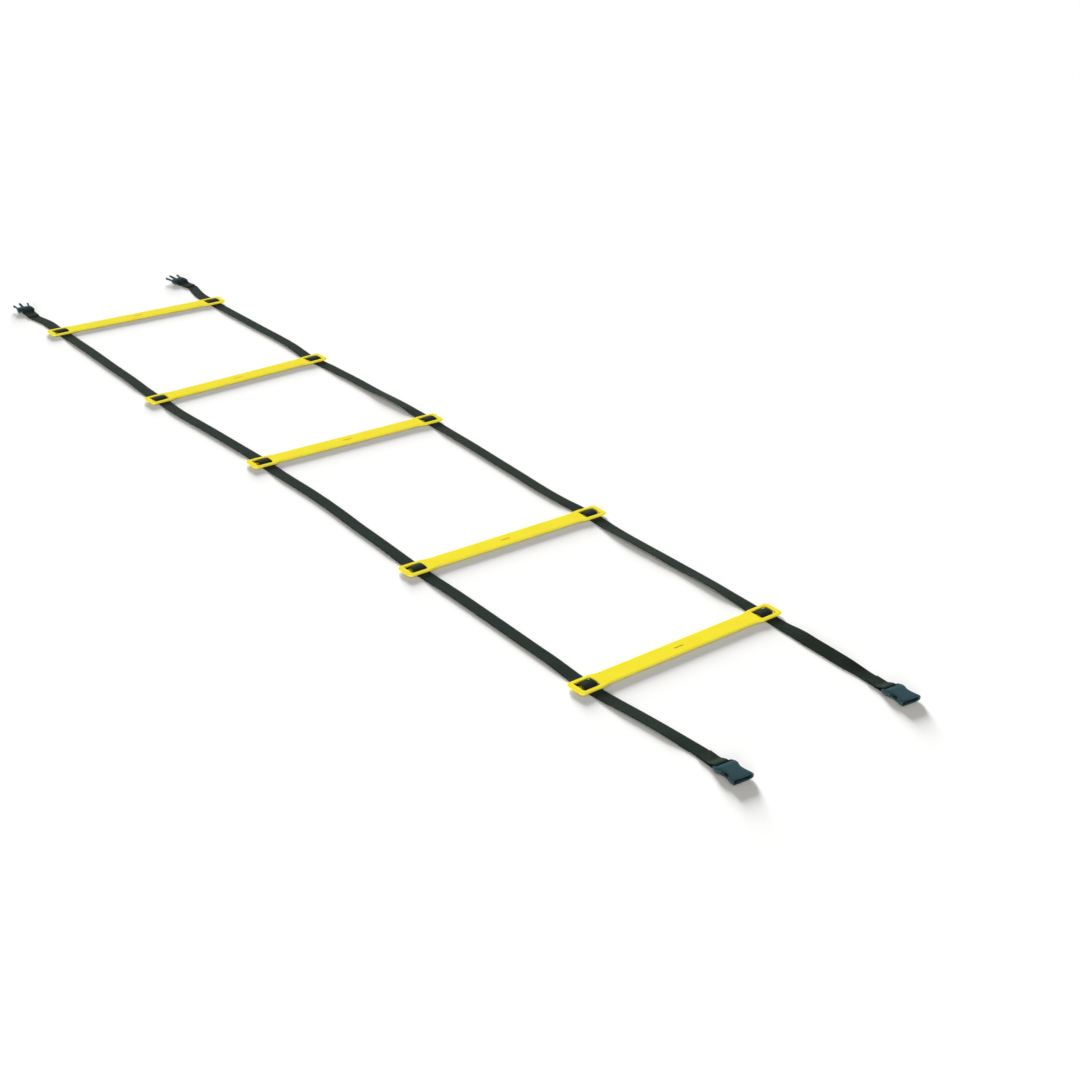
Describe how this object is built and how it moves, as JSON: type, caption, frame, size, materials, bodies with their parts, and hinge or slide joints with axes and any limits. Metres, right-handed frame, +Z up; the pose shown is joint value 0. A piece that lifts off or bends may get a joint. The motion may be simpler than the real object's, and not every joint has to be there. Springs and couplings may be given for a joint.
{
  "type": "agility ladder",
  "caption": "Flat agility ladder at full length on the ground: yellow moulded rungs laced onto two dark webbing straps with side release buckle halves sewn to the strap ends.",
  "frame": {"origin": "middle of the ladder's bounding box, on the ground", "axes": "+X along the rungs to the right seen from the near end, +Y along the straps towards the far end with the male buckle halves, +Z up from the ground"},
  "size_m": [0.4316, 2.3749, 0.0099],
  "materials": {
    "rung_plastic": "bright yellow moulded plastic, satin, with a fine moulded grain",
    "webbing": "very dark green-black woven polypropylene webbing",
    "buckle_plastic": "slate black moulded acetal, satin"
  },
  "bodies": {
    "section_5": {"left_strap_5_far": "webbing", "left_strap_5_near": "webbing", "right_strap_5_far": "webbing", "right_strap_5_near": "webbing", "left_female_loop": "webbing", "right_female_loop": "webbing"},
    "section_4": {"left_strap_4_far": "webbing", "left_strap_4_near": "webbing", "right_strap_4_far": "webbing", "right_strap_4_near": "webbing"},
    "section_3": {"left_strap_3_far": "webbing", "left_strap_3_near": "webbing", "right_strap_3_far": "webbing", "right_strap_3_near": "webbing"},
    "section_2": {"left_strap_2_far": "webbing", "left_strap_2_near": "webbing", "right_strap_2_far": "webbing", "right_strap_2_near": "webbing"},
    "section_1": {"left_strap_1_far": "webbing", "left_strap_1_near": "webbing", "right_strap_1_far": "webbing", "right_strap_1_near": "webbing", "left_male_loop": "webbing", "right_male_loop": "webbing"},
    "rung_1": {"rung_1": "rung_plastic", "left_lacing_1": "webbing", "right_lacing_1": "webbing"},
    "rung_2": {"rung_2": "rung_plastic", "left_lacing_2": "webbing", "right_lacing_2": "webbing"},
    "rung_3": {"rung_3": "rung_plastic", "left_lacing_3": "webbing", "right_lacing_3": "webbing"},
    "rung_4": {"rung_4": "rung_plastic", "left_lacing_4": "webbing", "right_lacing_4": "webbing"},
    "rung_5": {"rung_5": "rung_plastic", "left_lacing_5": "webbing", "right_lacing_5": "webbing"},
    "left_male": {"left_male_buckle": "buckle_plastic"},
    "left_male_inner_arm": {"left_male_arm_inner": "buckle_plastic"},
    "left_male_outer_arm": {"left_male_arm_outer": "buckle_plastic"},
    "left_female": {"left_female_buckle": "buckle_plastic"},
    "right_male": {"right_male_buckle": "buckle_plastic"},
    "right_male_inner_arm": {"right_male_arm_inner": "buckle_plastic"},
    "right_male_outer_arm": {"right_male_arm_outer": "buckle_plastic"},
    "right_female": {"right_female_buckle": "buckle_plastic"}
  },
  "joints": [
    {"name": "fold_4_5", "type": "hinge", "parent": "section_5", "child": "section_4", "pos_m": [0, -0.63795, 0.018], "axis": [1, 0, 0], "range_deg": [0, 180]},
    {"name": "fold_3_4", "type": "hinge", "parent": "section_4", "child": "section_3", "pos_m": [0, -0.16703, 0.0145], "axis": [1, 0, 0], "range_deg": [0, 180]},
    {"name": "fold_2_3", "type": "hinge", "parent": "section_3", "child": "section_2", "pos_m": [0, 0.307, 0.011], "axis": [1, 0, 0], "range_deg": [0, 180]},
    {"name": "fold_1_2", "type": "hinge", "parent": "section_2", "child": "section_1", "pos_m": [0, 0.75894, 0.0075], "axis": [1, 0, 0], "range_deg": [0, 180]},
    {"name": "rung_1_slide", "type": "slide", "parent": "section_1", "child": "rung_1", "axis": [0, 1, 0], "range_m": [-0.06, 0.045], "deforming": ["left_strap_1_far", "left_strap_1_near", "right_strap_1_far", "right_strap_1_near"]},
    {"name": "rung_2_slide", "type": "slide", "parent": "section_2", "child": "rung_2", "axis": [0, 1, 0], "range_m": [-0.06, 0.06], "deforming": ["left_strap_2_far", "left_strap_2_near", "right_strap_2_far", "right_strap_2_near"]},
    {"name": "rung_3_slide", "type": "slide", "parent": "section_3", "child": "rung_3", "axis": [0, 1, 0], "range_m": [-0.06, 0.06], "deforming": ["left_strap_3_far", "left_strap_3_near", "right_strap_3_far", "right_strap_3_near"]},
    {"name": "rung_4_slide", "type": "slide", "parent": "section_4", "child": "rung_4", "axis": [0, 1, 0], "range_m": [-0.06, 0.06], "deforming": ["left_strap_4_far", "left_strap_4_near", "right_strap_4_far", "right_strap_4_near"]},
    {"name": "rung_5_slide", "type": "slide", "parent": "section_5", "child": "rung_5", "axis": [0, 1, 0], "range_m": [-0.06, 0.06], "deforming": ["left_strap_5_far", "left_strap_5_near", "right_strap_5_far", "right_strap_5_near"]},
    {"name": "left_male_pivot", "type": "hinge", "parent": "section_1", "child": "left_male", "pos_m": [-0.19392, 1.14307, 0.0038], "axis": [-0.9994, 0.0349, 0], "range_deg": [-90, 0]},
    {"name": "left_female_pivot", "type": "hinge", "parent": "section_5", "child": "left_female", "pos_m": [-0.17038, -1.14261, 0.00475], "axis": [0.9986, -0.0523, 0], "range_deg": [-90, 0]},
    {"name": "left_male_inner_arm_squeeze", "type": "hinge", "parent": "left_male", "child": "left_male_inner_arm", "pos_m": [-0.17956, 1.15879, 0.0055], "axis": [-0.0036, -0.1045, 0.9945], "range_deg": [0, 9], "stiffness_Nm_per_rad": 0.05},
    {"name": "left_male_outer_arm_squeeze", "type": "hinge", "parent": "left_male", "child": "left_male_outer_arm", "pos_m": [-0.20715, 1.15975, 0.0055], "axis": [0.0036, 0.1045, -0.9945], "range_deg": [0, 9], "stiffness_Nm_per_rad": 0.05},
    {"name": "right_male_pivot", "type": "hinge", "parent": "section_1", "child": "right_male", "pos_m": [0.18592, 1.132, 0.0038], "axis": [-0.9848, -0.1736, 0], "range_deg": [-90, 0]},
    {"name": "right_female_pivot", "type": "hinge", "parent": "section_5", "child": "right_female", "pos_m": [0.17037, -1.13664, 0.00475], "axis": [0.9976, -0.0698, 0], "range_deg": [-90, 0]},
    {"name": "right_male_inner_arm_squeeze", "type": "hinge", "parent": "right_male", "child": "right_male_inner_arm", "pos_m": [0.16952, 1.14557, 0.0055], "axis": [-0.0182, 0.1029, -0.9945], "range_deg": [0, 9], "stiffness_Nm_per_rad": 0.05},
    {"name": "right_male_outer_arm_squeeze", "type": "hinge", "parent": "right_male", "child": "right_male_outer_arm", "pos_m": [0.1967, 1.15036, 0.0055], "axis": [0.0182, -0.1029, 0.9945], "range_deg": [0, 9], "stiffness_Nm_per_rad": 0.05}
  ]
}
